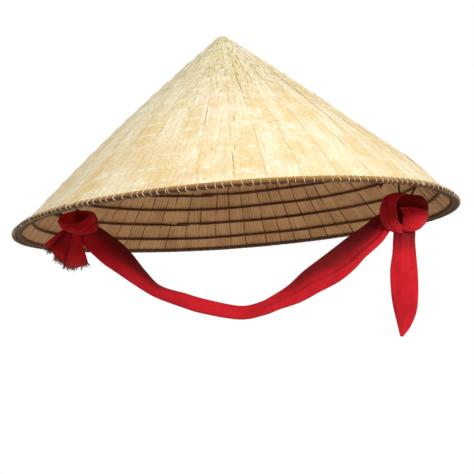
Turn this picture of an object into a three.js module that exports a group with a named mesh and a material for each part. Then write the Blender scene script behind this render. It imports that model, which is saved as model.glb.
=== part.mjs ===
// A conical palm-leaf hat: two layers of leaf strips sewn over sixteen bamboo hoops, a brim bound
// with thread, and a cotton chin strap knotted to two thread loops inside the brim.
// Millimetres, +Z up along the cone's axis. The hat is built on its brim plane (z = 0) and then
// lowered, so that the origin is where the wearer's crown meets the inside of the cone.
import * as THREE from "three";

// ---- Driving dimensions ----
const LEAF_RADIUS = 215.6; // outer leaf's face at the brim plane
const TIP_HEIGHT = 190.5; // where the straight sides would meet
const SIDE_BOW = 4.2; // how far the side bulges past straight, at its middle
const HEAD_SEAT_HEIGHT = 160; // crown of the head, above the brim plane

const OUTER_LEAVES = 20;
const INNER_LEAVES = 12;
const INNER_LEAF_START_DEG = 12; // keeps most inner joints away from the outer ones
const FACET_DEG = 6; // every ring that touches the leaves has its corners this far apart
const OUTER_LEAF_THICKNESS = 0.8;
const INNER_LEAF_THICKNESS = 0.6;
const GAP = 0.3; // between pieces that touch on the real hat
const LEAF_FOOT = 2.3; // leaf edges start this far up the side, inside the brim hoops
const LEAF_TOP_RADIUS = 9.3;
const LEAF_STEPS = 4;

const HOOP_COUNT = 16; // the first is the inner brim hoop
const HOOP_WIDTH = 2.6;
const HOOP_THICKNESS = 2.0;
const LOWEST_HOOP_SPACING = 20.4; // along the side, between the two lowest hoops
const SPACING_TAPER = 0.343; // each spacing is this much less than the one below it
const HOOP_FACETS = 30;

const BRIM_HOOP_THICKNESS = 3.1; // outer brim hoop, square to the side
const BRIM_HOOP_RADIUS = 219.2; // its outermost face
const INNER_BRIM_HOOP_THICKNESS = 1.8; // square to the side
const INNER_BRIM_HOOP_TOP = 6; // up the side
const BINDING_THICKNESS = 0.5;

const APEX_BALL_RADIUS = 15;
const APEX_BLUNTING = 4; // the rounded top is this far below the sharp tip

const THREAD_RADIUS = 0.8;
const BAND_THICKNESS = 6; // the chin strap, folded
const TAIL_THICKNESS = 5;

// ---- Materials ----
const OUTER_LEAF_MATERIAL = standard(0xe9d8a4, 0.7);
const INNER_LEAF_MATERIAL = standard(0xb28f5c, 0.75);
const HOOP_MATERIAL = standard(0x4a2c18, 0.65);
const BRIM_MATERIAL = standard(0xc09a4a, 0.55);
const BINDING_MATERIAL = standard(0xe8e0cc, 0.6);
const THREAD_MATERIAL = standard(0x15110f, 0.7);
const COTTON_MATERIAL = standard(0xa3101e, 0.95);

function standard(color, roughness) {
  return new THREE.MeshStandardMaterial({ color, roughness, metalness: 0 });
}

// ---- The cone's side ----
const SIDE_LENGTH = Math.hypot(LEAF_RADIUS, TIP_HEIGHT);
const OUTWARD = new THREE.Vector2(TIP_HEIGHT, LEAF_RADIUS).divideScalar(SIDE_LENGTH);

// A point of the side as (radius, height): `up` is the distance from the brim along the straight
// side, and `depth` the distance in from the outer leaf's face.
function sidePoint(up, depth) {
  const t = up / SIDE_LENGTH;
  const out = 4 * SIDE_BOW * t * (1 - t) - depth;
  return new THREE.Vector2(
    LEAF_RADIUS * (1 - t) + out * OUTWARD.x,
    TIP_HEIGHT * t + out * OUTWARD.y,
  );
}

// Where the face at this depth meets the brim plane.
function footRadius(depth) {
  return LEAF_RADIUS - depth / OUTWARD.x;
}

const INNER_LEAF_DEPTH = OUTER_LEAF_THICKNESS + GAP;
const HOOP_DEPTH = INNER_LEAF_DEPTH + INNER_LEAF_THICKNESS + GAP;
const INNER_BRIM_HOOP_INSIDE = HOOP_DEPTH + INNER_BRIM_HOOP_THICKNESS;

// ---- Shape helpers ----

// A closed ring from a profile of (radius, height) points, turned about +Z.
function ring(profile, facets) {
  const geometry = new THREE.LatheGeometry([...profile, profile[0].clone()], facets);
  return geometry.rotateX(Math.PI / 2);
}

// A solid through matching closed sections, with a flat lid at each end. The lids join the first
// half of a section to its second half, which suits any long thin section.
function loft(sections) {
  const count = sections[0].length;
  const half = count / 2;
  const triangles = [];
  const quad = (a, b, c, d) => triangles.push(a, c, b, a, d, c);
  for (let s = 0; s + 1 < sections.length; s++) {
    for (let i = 0; i < count; i++) {
      const j = (i + 1) % count;
      quad(sections[s][i], sections[s][j], sections[s + 1][j], sections[s + 1][i]);
    }
  }
  const first = sections[0];
  const last = sections[sections.length - 1];
  for (let i = 0; i + 1 < half; i++) {
    const k = count - 1 - i;
    quad(first[i], first[k], first[k - 1], first[i + 1]);
    quad(last[i], last[i + 1], last[k - 1], last[k]);
  }
  const geometry = new THREE.BufferGeometry().setFromPoints(triangles);
  geometry.computeVertexNormals();
  return geometry;
}

// A flat piece of cloth from its outline of (x, height) points, centred on the plane y = 0.
function cloth(outline, thickness, pointsPerSpan) {
  const shape = new THREE.Shape(outline);
  const settings = { depth: thickness, bevelEnabled: false, curveSegments: pointsPerSpan };
  const geometry = new THREE.ExtrudeGeometry(shape, settings);
  return geometry.translate(0, 0, -thickness / 2).rotateX(Math.PI / 2);
}

// Points along a smooth curve through a few (x, height) points.
function smooth(points, divisions) {
  const vectors = points.map(([x, z]) => new THREE.Vector2(x, z));
  return new THREE.SplineCurve(vectors).getPoints(divisions);
}

// ---- Pieces ----

// One leaf strip, from the brim up to the apex, between two azimuths in degrees.
function leafStrip(startDeg, endDeg, depth, thickness) {
  const top = SIDE_LENGTH * (1 - LEAF_TOP_RADIUS / LEAF_RADIUS);
  const heights = Array.from(
    { length: LEAF_STEPS + 1 },
    (_, i) => LEAF_FOOT + ((top - LEAF_FOOT) * i) / LEAF_STEPS,
  );
  const profile = [
    ...heights.map((up) => sidePoint(up, depth)),
    ...heights.toReversed().map((up) => sidePoint(up, depth + thickness)),
  ];
  const sections = [];
  for (let deg = startDeg; deg <= endDeg; deg += FACET_DEG) {
    const angle = THREE.MathUtils.degToRad(deg);
    // the first and last sections step in from the joint by half the gap
    const step = deg === startDeg ? GAP / 2 : deg === endDeg ? -GAP / 2 : 0;
    const across = new THREE.Vector3(-Math.sin(angle), Math.cos(angle), 0).multiplyScalar(step);
    sections.push(
      profile.map((p) =>
        new THREE.Vector3(p.x * Math.cos(angle), p.x * Math.sin(angle), p.y).add(across),
      ),
    );
  }
  return loft(sections);
}

function leafLayer(name, count, startDeg, depth, thickness, material) {
  const width = 360 / count;
  const layer = new THREE.Group();
  for (let i = 0; i < count; i++) {
    const from = startDeg + i * width;
    const geometry = leafStrip(from, from + width, depth, thickness);
    layer.add(named(`${name}_${twoDigits(i + 1)}`, geometry, material));
  }
  return layer;
}

// Hoop n stands this far up the side; hoop 1 is at the brim.
function hoopPlace(n) {
  const below = n - 1;
  return below * LOWEST_HOOP_SPACING - (SPACING_TAPER * below * (below - 1)) / 2;
}

function innerHoop(n) {
  const low = hoopPlace(n) - HOOP_WIDTH / 2;
  const high = low + HOOP_WIDTH;
  const inside = HOOP_DEPTH + HOOP_THICKNESS;
  const profile = [
    sidePoint(low, HOOP_DEPTH),
    sidePoint(high, HOOP_DEPTH),
    sidePoint(high, inside),
    sidePoint(low, inside),
  ];
  return ring(profile, HOOP_FACETS);
}

function innerBrimHoop() {
  const profile = [
    new THREE.Vector2(footRadius(HOOP_DEPTH), 0),
    sidePoint(INNER_BRIM_HOOP_TOP, HOOP_DEPTH),
    sidePoint(INNER_BRIM_HOOP_TOP, INNER_BRIM_HOOP_INSIDE),
    new THREE.Vector2(footRadius(INNER_BRIM_HOOP_INSIDE), 0),
  ];
  return ring(profile, 360 / FACET_DEG);
}

function outerBrimHoop() {
  const profile = [
    new THREE.Vector2(BRIM_HOOP_RADIUS - 0.8, 0),
    new THREE.Vector2(BRIM_HOOP_RADIUS, 0.8),
    new THREE.Vector2(BRIM_HOOP_RADIUS, 2.4),
    sidePoint(5.6, -BRIM_HOOP_THICKNESS),
    sidePoint(6.2, -GAP),
    new THREE.Vector2(footRadius(-GAP), 0),
  ];
  return ring(profile, 360 / FACET_DEG);
}

// The thread whipped over both brim hoops, as a thin trough round them, open upwards.
function brimBinding() {
  const wall = (gap) => [
    sidePoint(5.2, -BRIM_HOOP_THICKNESS - gap),
    new THREE.Vector2(BRIM_HOOP_RADIUS + gap, 2.6),
    new THREE.Vector2(BRIM_HOOP_RADIUS + gap, 0.6),
    new THREE.Vector2(BRIM_HOOP_RADIUS - 0.6, -gap),
    new THREE.Vector2(footRadius(INNER_BRIM_HOOP_INSIDE) - gap / 2, -gap),
    sidePoint(INNER_BRIM_HOOP_TOP - 0.6, INNER_BRIM_HOOP_INSIDE + gap),
  ];
  const profile = [...wall(GAP), ...wall(GAP + BINDING_THICKNESS).toReversed()];
  return ring(profile, 360 / FACET_DEG);
}

// The gathered leaf tips at the top: a rounded plug that closes both layers.
function apexCap() {
  const ballCentre = TIP_HEIGHT - APEX_BLUNTING - APEX_BALL_RADIUS;
  const ballEdge = THREE.MathUtils.degToRad(38.5);
  const top = SIDE_LENGTH * (1 - LEAF_TOP_RADIUS / LEAF_RADIUS) + GAP + 0.1;
  const profile = [
    new THREE.Vector2(0, ballCentre + APEX_BALL_RADIUS - 2.4),
    sidePoint(top, INNER_LEAF_DEPTH + INNER_LEAF_THICKNESS),
    sidePoint(top, 0),
  ];
  const steps = 4;
  for (let i = 1; i <= steps; i++) {
    const a = ballEdge * (1 - i / steps);
    profile.push(
      new THREE.Vector2(APEX_BALL_RADIUS * Math.sin(a), ballCentre + APEX_BALL_RADIUS * Math.cos(a)),
    );
  }
  return new THREE.LatheGeometry(profile, HOOP_FACETS).rotateX(Math.PI / 2);
}

// A sewn thread loop, open at the top where it goes round two hoops.
function threadLoop(points) {
  const path = new THREE.CatmullRomCurve3(points.map(([x, z]) => new THREE.Vector3(x, 0, z)));
  const section = new THREE.Shape().absarc(0, 0, THREAD_RADIUS, 0, 2 * Math.PI);
  const settings = { extrudePath: path, steps: 14, curveSegments: 6 };
  return new THREE.ExtrudeGeometry(section, settings);
}

// A knot as a rounded lump: centre (x, height) and half sizes along X, Y and Z.
function knot(x, z, halfX, halfY, halfZ) {
  return new THREE.SphereGeometry(1, 16, 10).scale(halfX, halfY, halfZ).translate(x, 0, z);
}

function chinStrap() {
  const upperEdge = smooth(
    [[-137, -7], [-127, -10], [-115, -15], [-93, -42], [-70, -61], [-38, -75], [-4, -86],
      [30, -76], [62, -54], [95, -31], [125, -12], [134.4, -5]],
    33,
  );
  const lowerEdge = smooth(
    [[150.6, -25], [141, -32], [125, -45], [93, -69], [55, -84], [14, -96], [-5, -97],
      [-43, -89], [-78, -74], [-110, -52], [-132, -35], [-146, -18]],
    33,
  );
  return cloth([...upperEdge, ...lowerEdge], BAND_THICKNESS, 1);
}

function rightTail() {
  const outline = smooth(
    [[176, -25.2], [175, -42], [174, -64], [172, -86], [170, -101], [163, -115], [153.5, -126.5],
      [150.5, -126], [149, -113], [147, -99], [146, -83], [146.5, -62], [151, -42], [153, -25.2]],
    39,
  );
  return cloth(outline, TAIL_THICKNESS, 1);
}

function leftTail() {
  const corners = [
    [-173, -5.2], [-147, -5.2], [-147, -19], [-149, -36], [-161, -41], [-170, -38], [-178, -32],
    [-187, -24], [-195, -12], [-183, -6],
  ];
  return cloth(corners.map(([x, z]) => new THREE.Vector2(x, z)), TAIL_THICKNESS, 1);
}

// ---- Assembly ----
function named(name, geometry, material) {
  const mesh = new THREE.Mesh(geometry, material);
  mesh.name = name;
  return mesh;
}

function twoDigits(n) {
  return String(n).padStart(2, "0");
}

const hat = new THREE.Group();
hat.position.z = -HEAD_SEAT_HEIGHT;

hat.add(
  leafLayer("outer_leaf", OUTER_LEAVES, 0, 0, OUTER_LEAF_THICKNESS, OUTER_LEAF_MATERIAL),
  leafLayer("inner_leaf", INNER_LEAVES, INNER_LEAF_START_DEG, INNER_LEAF_DEPTH,
    INNER_LEAF_THICKNESS, INNER_LEAF_MATERIAL),
  named("bamboo_hoop_01", innerBrimHoop(), HOOP_MATERIAL),
  named("rim_outer_hoop", outerBrimHoop(), BRIM_MATERIAL),
  named("rim_binding", brimBinding(), BINDING_MATERIAL),
  named("apex_cap", apexCap(), OUTER_LEAF_MATERIAL),
);
for (let n = 2; n <= HOOP_COUNT; n++) {
  hat.add(named(`bamboo_hoop_${twoDigits(n)}`, innerHoop(n), HOOP_MATERIAL));
}
hat.add(
  named("right_strap_loop", threadLoop([[166.7, 36.4], [164, 27], [164.5, 19.5], [169, 17.2],
    [174, 18.5], [181.2, 24.2]]), THREAD_MATERIAL),
  named("left_strap_loop", threadLoop([[-166, 36.4], [-160, 31], [-158.5, 26.5], [-163, 25],
    [-169, 25.2], [-181.2, 25]]), THREAD_MATERIAL),
  named("chin_strap", chinStrap(), COTTON_MATERIAL),
  named("right_knot", knot(163, -4, 24, 15, 19), COTTON_MATERIAL),
  named("left_knot", knot(-158, 10, 19.5, 14, 13), COTTON_MATERIAL),
  named("right_tail", rightTail(), COTTON_MATERIAL),
  named("left_tail", leftTail(), COTTON_MATERIAL),
);

const part = new THREE.Group();
part.add(hat);
export default part;
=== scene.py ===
import math

import bmesh
import bpy
import numpy as np
from mathutils import Matrix, Vector


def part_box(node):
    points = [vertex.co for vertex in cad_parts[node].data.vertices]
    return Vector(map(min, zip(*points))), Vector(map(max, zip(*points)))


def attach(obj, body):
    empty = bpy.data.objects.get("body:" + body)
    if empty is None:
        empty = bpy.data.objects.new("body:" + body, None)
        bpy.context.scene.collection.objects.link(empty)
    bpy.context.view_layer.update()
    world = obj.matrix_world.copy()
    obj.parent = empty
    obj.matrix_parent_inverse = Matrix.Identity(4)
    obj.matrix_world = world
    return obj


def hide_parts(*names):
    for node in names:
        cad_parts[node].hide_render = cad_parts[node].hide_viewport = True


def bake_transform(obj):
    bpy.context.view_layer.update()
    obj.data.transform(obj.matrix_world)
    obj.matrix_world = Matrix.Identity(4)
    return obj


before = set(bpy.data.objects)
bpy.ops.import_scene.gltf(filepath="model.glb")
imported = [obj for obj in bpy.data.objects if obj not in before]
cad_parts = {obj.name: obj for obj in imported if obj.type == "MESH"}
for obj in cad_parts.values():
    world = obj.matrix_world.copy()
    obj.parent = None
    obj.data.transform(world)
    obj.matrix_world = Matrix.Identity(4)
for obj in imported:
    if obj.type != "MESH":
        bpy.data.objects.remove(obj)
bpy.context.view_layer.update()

MM = 0.001

# ---- Places that come from the frame ----
BRIM_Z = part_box("rim_outer_hoop")[0].z
BRIM_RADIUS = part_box("rim_outer_hoop")[1].x
TOP_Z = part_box("apex_cap")[1].z
OUTER_NODES = sorted(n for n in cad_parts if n.startswith("outer_leaf_"))
INNER_NODES = sorted(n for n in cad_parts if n.startswith("inner_leaf_"))
HOOP_NODES = sorted(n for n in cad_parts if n.startswith("bamboo_hoop_"))

# ---- The cone's side, as the CAD part has it ----
LEAF_RADIUS = BRIM_RADIUS - 3.6 * MM
TIP_HEIGHT = TOP_Z - BRIM_Z + 4 * MM
SIDE_BOW = 4.2 * MM
SIDE_LENGTH = math.hypot(LEAF_RADIUS, TIP_HEIGHT)
OUT_R = TIP_HEIGHT / SIDE_LENGTH
OUT_Z = LEAF_RADIUS / SIDE_LENGTH
LEAF_FOOT = 2.3 * MM
LOWEST_HOOP_SPACING = 20.4 * MM
SPACING_TAPER = 0.343 * MM

# ---- The hat's small irregularities ----
BRIM_WAVE = 0.4 * MM
RIGHT_SWELL = 3.4 * MM
RIGHT_DROOP = 3.8 * MM
LEFT_DROOP = 3.2 * MM
LEFT_SPREAD = 1.4 * MM
APEX_LEAN = 1.2 * MM
APEX_RISE = 1.6 * MM  # how far the gathered tips stand above the CAD cap

# ---- Leaf strips ----
OUTER_STRIPS = 40
OUTER_OVERLAP = 5 * MM
OUTER_THICKNESS = 0.35 * MM
INNER_STRIPS = 72
INNER_START_DEG = 12
INNER_OVERLAP = 3 * MM
INNER_THICKNESS = 0.3 * MM
INNER_PLEAT = 3.1 * MM
HOOP_RIDGE = 0.24 * MM
GAP_SAG = 0.18 * MM

# ---- Bamboo and thread ----
HOOP_HALF_WIDTH = 1.15 * MM
HOOP_HALF_THICKNESS = 0.95 * MM
HOOP_DEPTH = 3.0 * MM
SPLICE_LENGTH = 16 * MM
BINDING_RADIUS = 0.33 * MM
BINDING_STEP = 7.2 * MM
STITCH_STEP = 9.5 * MM
STITCH_RADIUS = 0.13 * MM
LOOP_STRAND_RADIUS = 0.6 * MM
LOOP_TWIST = 5.5 * MM

# ---- Cloth ----
CLOTH_THICKNESS = 0.7 * MM
WEFT_STEP = 0.55 * MM
WARP_STEP = 0.5 * MM
STRIP_WIDTH = 56 * MM  # the cut width of the cotton strip, which is folded lengthwise

# ---- Camera ----
VIEW_DISTANCE = 1.5
VIEW_UP_DEG = 8.04
VIEW_ROLL_DEG = 4.31
VIEW_AIM_DROP_DEG = 0.586
VIEW_LENS = 115.1

# ---- Stage ----
FLOOR_Z = -3.0
FLOOR_RADIUS = 30
HORIZON_GLOW = 0.08
OVERHEAD_GLOW = 0.66


# ================= Shared geometry =================
def smoothstep(value, low, high):
    share = np.clip((value - low) / (high - low), 0.0, 1.0)
    return share * share * (3 - 2 * share)


def hump(value, middle, reach):
    """1 at the middle, easing to 0 at reach on either side."""
    share = np.clip(np.abs(value - middle) / reach, 0.0, 1.0)
    return (1 - share * share) ** 2


def angle_between(azimuth, middle_deg):
    """How far an azimuth is from a direction, in radians, either way round."""
    turn = azimuth - math.radians(middle_deg)
    return np.abs((turn + math.pi) % (2 * math.pi) - math.pi)


def wobble(value, length, seed):
    """A smooth irregular line between about -1 and 1, whose waves are about length long."""
    phases = np.random.default_rng(seed).uniform(0, 2 * math.pi, 4)
    total = np.zeros_like(np.asarray(value, float))
    for number, phase in enumerate(phases):
        total = total + np.sin(2 * math.pi * value * (0.55 + 0.37 * number) / length + phase)
    return total / 2.6


def place(radius, azimuth, z):
    """A point of the hat from its radius, azimuth and height, with the hat's irregularities."""
    share = radius / LEAF_RADIUS
    up = (z - BRIM_Z) / TIP_HEIGHT
    wave = BRIM_WAVE * share**3 * (np.sin(2 * azimuth + 2.3) + 0.5 * np.sin(5 * azimuth + 1.3))
    swell = RIGHT_SWELL * hump(angle_between(azimuth, -8), 0, 0.9) * hump(up, 0.2, 0.24)
    droop = RIGHT_DROOP * hump(angle_between(azimuth, 8), 0, 0.9)
    droop = (droop + LEFT_DROOP * hump(angle_between(azimuth, 170), 0, 1.0)) * share**6
    spread = LEFT_SPREAD * hump(angle_between(azimuth, 180), 0, 1.0) * share**6
    radius = radius + swell * OUT_R + spread
    z = z + wave + swell * OUT_Z - droop
    lean = APEX_LEAN * np.clip(up, 0, 1) ** 2
    return np.stack([radius * np.cos(azimuth) - lean, radius * np.sin(azimuth), z], axis=-1)


def side(up, depth):
    """Radius and height of the side, up from the brim plane and depth inside the leaves' face."""
    share = up / SIDE_LENGTH
    out = 4 * SIDE_BOW * share * (1 - share) - depth
    return LEAF_RADIUS * (1 - share) + out * OUT_R, BRIM_Z + TIP_HEIGHT * share + out * OUT_Z


def hat_point(up, azimuth, depth):
    radius, z = side(np.asarray(up, float), np.asarray(depth, float))
    return place(radius, np.asarray(azimuth, float), z)


def hoop_place(number):
    """How far up the side hoop number is, the first at the brim."""
    return (number - 1) * LOWEST_HOOP_SPACING - SPACING_TAPER * (number - 1) * (number - 2) / 2


HOOP_PLACES = np.array([hoop_place(n + 1) for n in range(len(HOOP_NODES))])


def ridge_share(up):
    """1 over a hoop and 0 a few millimetres away from one."""
    nearest = np.min(np.abs(np.asarray(up)[..., None] - HOOP_PLACES), axis=-1)
    return np.exp(-((nearest / (1.9 * MM)) ** 2))


def gap_share(up):
    """1 midway between two hoops and 0 at a hoop."""
    number = np.interp(up, HOOP_PLACES, np.arange(len(HOOP_PLACES)))
    return np.sin(math.pi * (number % 1.0)) ** 2


def smooth_rows(rows, count):
    """count rows, evenly spaced along a smooth curve through the rows' first three columns."""
    rows = np.array(rows, float)
    ghost = np.vstack([2 * rows[0] - rows[1], rows, 2 * rows[-1] - rows[-2]])
    fine = []
    for number in range(len(rows) - 1):
        a, b, c, d = ghost[number : number + 4]
        t = np.linspace(0, 1, 24, endpoint=False)[:, None]
        bend = (2 * a - 5 * b + 4 * c - d) * t**2 + (3 * b - 3 * c + d - a) * t**3
        fine.append(b + 0.5 * ((c - a) * t + bend))
    fine = np.vstack(fine + [rows[-1:]])
    steps = np.linalg.norm(np.diff(fine[:, :3], axis=0), axis=1)
    along = np.concatenate([[0], np.cumsum(steps)])
    wanted = np.linspace(0, along[-1], count)
    return np.stack([np.interp(wanted, along, column) for column in fine.T], axis=1)


def unit(vectors):
    return vectors / np.maximum(np.linalg.norm(vectors, axis=-1, keepdims=True), 1e-12)


def distances(path):
    steps = np.linalg.norm(np.diff(path, axis=0), axis=1)
    return np.concatenate([[0], np.cumsum(steps)])


def there_and_back(values):
    """values for a section's face, and the same in reverse for its back."""
    return np.concatenate([values, values[..., ::-1]], axis=-1)


def per_point(rings, first=0.0, second=0.0, third=0.0):
    """Three numbers for each point of the rings, each given for all of them or one by one."""
    numbers = np.zeros(rings.shape)
    for column, values in enumerate((first, second, third)):
        numbers[..., column] = values
    return numbers


def rounded(corners, reach):
    """A closed outline with each corner cut back by reach, and each cut's corners cut once more."""
    outline = np.array(corners, float)
    for share in (0.5, 0.25):
        following = np.roll(outline, -1, axis=0)
        span = following - outline
        length = np.maximum(np.linalg.norm(span, axis=1, keepdims=True), 1e-9)
        cut = np.minimum(reach, share * length) / length
        reach *= 0.4
        outline = np.stack([outline + cut * span, following - cut * span], axis=1).reshape(-1, 2)
    return outline


class Shape:
    """Closed solids gathered into one mesh, each a loft through rings of points."""

    def __init__(self):
        self.points = []
        self.faces = []
        self.places = []
        self.marks = []
        self.count = 0

    def loft(self, rings, places, marks=None, closed=False):
        rows, columns = rings.shape[:2]
        number = np.arange(rows * columns).reshape(rows, columns) + self.count
        if closed:
            number = np.vstack([number, number[:1]])
        right = np.roll(number, -1, axis=1)
        quads = np.stack([number[:-1], number[1:], right[1:], right[:-1]], axis=-1)
        self.faces += quads.reshape(-1, 4).tolist()
        if not closed:
            self.faces += [number[0].tolist(), number[-1][::-1].tolist()]
        self.points.append(rings.reshape(-1, 3))
        self.places.append(np.broadcast_to(places, rings.shape).reshape(-1, 3))
        marks = np.zeros(3) if marks is None else marks
        self.marks.append(np.broadcast_to(marks, rings.shape).reshape(-1, 3))
        self.count += rows * columns

    def tube(self, path, radius, sides=6, number=0.0, closed=False):
        """A round tube along a path, its radius one number or one for each point."""
        path = np.asarray(path, float)
        if closed:
            tangents = unit(np.roll(path, -1, axis=0) - np.roll(path, 1, axis=0))
        else:
            tangents = unit(np.gradient(path, axis=0))
        first = np.cross(tangents[0], [0.31, 0.17, 0.93])
        across = [first / np.linalg.norm(first)]
        for tangent in tangents[1:]:
            carried = across[-1] - tangent * np.dot(across[-1], tangent)
            across.append(carried / np.linalg.norm(carried))
        across = np.array(across)
        other = np.cross(tangents, across)
        turn = np.arange(sides) * 2 * math.pi / sides
        radius = np.broadcast_to(radius, len(path))[:, None, None]
        spokes = across[:, None] * np.cos(turn)[:, None] + other[:, None] * np.sin(turn)[:, None]
        rings = path[:, None] + radius * spokes
        places = per_point(rings, turn * radius[:, :, 0], distances(path)[:, None], number)
        self.loft(rings, places, closed=closed)

    def make(self, name, material, body, replaces=(), sharp_deg=55):
        mesh = bpy.data.meshes.new(name)
        mesh.from_pydata(np.vstack(self.points).tolist(), [], self.faces)
        for label, rows in (("place", self.places), ("marks", self.marks)):
            attribute = mesh.attributes.new(label, "FLOAT_VECTOR", "POINT")
            attribute.data.foreach_set("vector", np.vstack(rows).astype(np.float32).ravel())
        facing = bmesh.new()
        facing.from_mesh(mesh)
        bmesh.ops.recalc_face_normals(facing, faces=facing.faces)
        facing.to_mesh(mesh)
        facing.free()
        mesh.shade_smooth()
        mesh.set_sharp_from_angle(angle=math.radians(sharp_deg))
        mesh.materials.append(material)
        piece = bpy.data.objects.new(name, mesh)
        bpy.context.scene.collection.objects.link(piece)
        if body:
            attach(piece, body)
        if replaces:
            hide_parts(*replaces)
        return piece


# ================= Materials =================
def srgb(red, green, blue):
    """A shader colour from the three 0 to 255 numbers of a screen colour."""
    parts = [c / 255 for c in (red, green, blue)]
    linear = [c / 12.92 if c <= 0.04045 else ((c + 0.055) / 1.055) ** 2.4 for c in parts]
    return (*linear, 1.0)


def new_material(name, roughness=0.6):
    made = bpy.data.materials.new(name)
    made.use_nodes = True
    shader = made.node_tree.nodes["Principled BSDF"]
    shader.inputs["Roughness"].default_value = roughness
    return made, made.node_tree, shader


def node(tree, kind, inputs, **settings):
    """A shader node with its settings and inputs, each input a value or another node's output."""
    made = tree.nodes.new("ShaderNode" + kind)
    for key, value in settings.items():
        setattr(made, key, value)
    for key, value in inputs.items():
        if isinstance(value, bpy.types.NodeSocket):
            tree.links.new(value, made.inputs[key])
        else:
            made.inputs[key].default_value = value
    return made


def attribute(tree, label):
    return node(tree, "Attribute", {}, attribute_name=label).outputs["Vector"]


def split(tree, vector):
    return node(tree, "SeparateXYZ", {0: vector}).outputs


def stretched(tree, vector, amounts):
    return node(tree, "VectorMath", {0: vector, 1: amounts}, operation="MULTIPLY").outputs[0]


def noise(tree, vector, amounts, detail=2.0):
    """Noise whose cells are 1 / amounts metres long each way."""
    inputs = {"Vector": stretched(tree, vector, amounts), "Scale": 1.0, "Detail": detail}
    return node(tree, "TexNoise", inputs).outputs["Fac"]


def ranged(tree, value, low, high, first=0.0, last=1.0):
    """value eased from first to last as it goes from low to high."""
    inputs = {0: value, 1: low, 2: high, 3: first, 4: last}
    return node(tree, "MapRange", inputs, interpolation_type="SMOOTHSTEP").outputs[0]


def maths(tree, operation, first, second=0.0):
    return node(tree, "Math", {0: first, 1: second}, operation=operation).outputs[0]


def times(tree, first, second):
    return maths(tree, "MULTIPLY", first, second)


def mixed(tree, factor, first, second):
    made = node(tree, "Mix", {0: factor, 6: first, 7: second}, data_type="RGBA")
    return made.outputs[2]


def hump_node(tree, value, middle, reach):
    """1 at the middle, easing to 0 at reach on either side."""
    away = maths(tree, "ABSOLUTE", maths(tree, "SUBTRACT", value, middle))
    return ranged(tree, away, reach, 0.0)


def dress(tree, shader, colour, rough, relief, depth, strength):
    """Connects a surface's colour, roughness and relief, whose depth is in metres."""
    tree.links.new(colour, shader.inputs["Base Color"])
    tree.links.new(rough, shader.inputs["Roughness"])
    bump = node(tree, "Bump", {"Height": relief, "Distance": depth, "Strength": strength})
    tree.links.new(bump.outputs["Normal"], shader.inputs["Normal"])


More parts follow.
